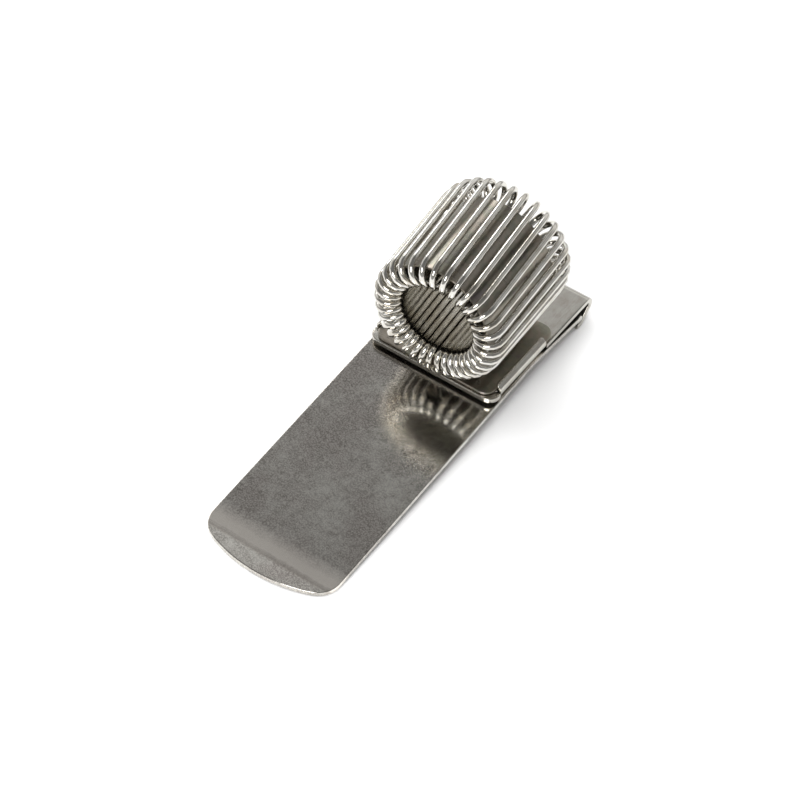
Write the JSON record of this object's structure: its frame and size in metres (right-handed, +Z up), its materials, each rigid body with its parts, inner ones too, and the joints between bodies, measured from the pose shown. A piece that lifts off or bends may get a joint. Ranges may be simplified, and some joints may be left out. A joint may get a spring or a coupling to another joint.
{
  "type": "pen holder clip",
  "caption": "Folded sheet-steel pocket clip with a pen sleeve made from a flattened coil spring bent into a ring; its long sprung tongue slips inside a pocket.",
  "frame": {"origin": "on the surface that the clip stands on, under the middle of its length and width", "axes": "+Y from the tongue's tip towards the folded back, along the pen; +X across the clip; +Z up, from the tongue towards the coil sleeve"},
  "size_m": [0.0158, 0.0458, 0.0186],
  "materials": {
    "body_steel": "bright rolled sheet steel with bare cut edges",
    "tongue_steel": "satin rolled sheet steel with faint mottling",
    "strap_steel": "dull rolled strap",
    "spring_wire": "bright drawn spring wire"
  },
  "bodies": {
    "clip": {"clip_body": "body_steel", "core_strap": "strap_steel", "coil_sleeve": "spring_wire"},
    "tongue": {"pocket_tongue": "tongue_steel"}
  },
  "joints": [
    {"name": "tongue_hinge", "type": "hinge", "parent": "clip", "child": "tongue", "pos_m": [-0.00038, 0.02075, 0.00115], "axis": [1, 0, 0], "range_deg": [0, 10], "stiffness_Nm_per_rad": 0.2, "springref_deg": -5.73}
  ]
}
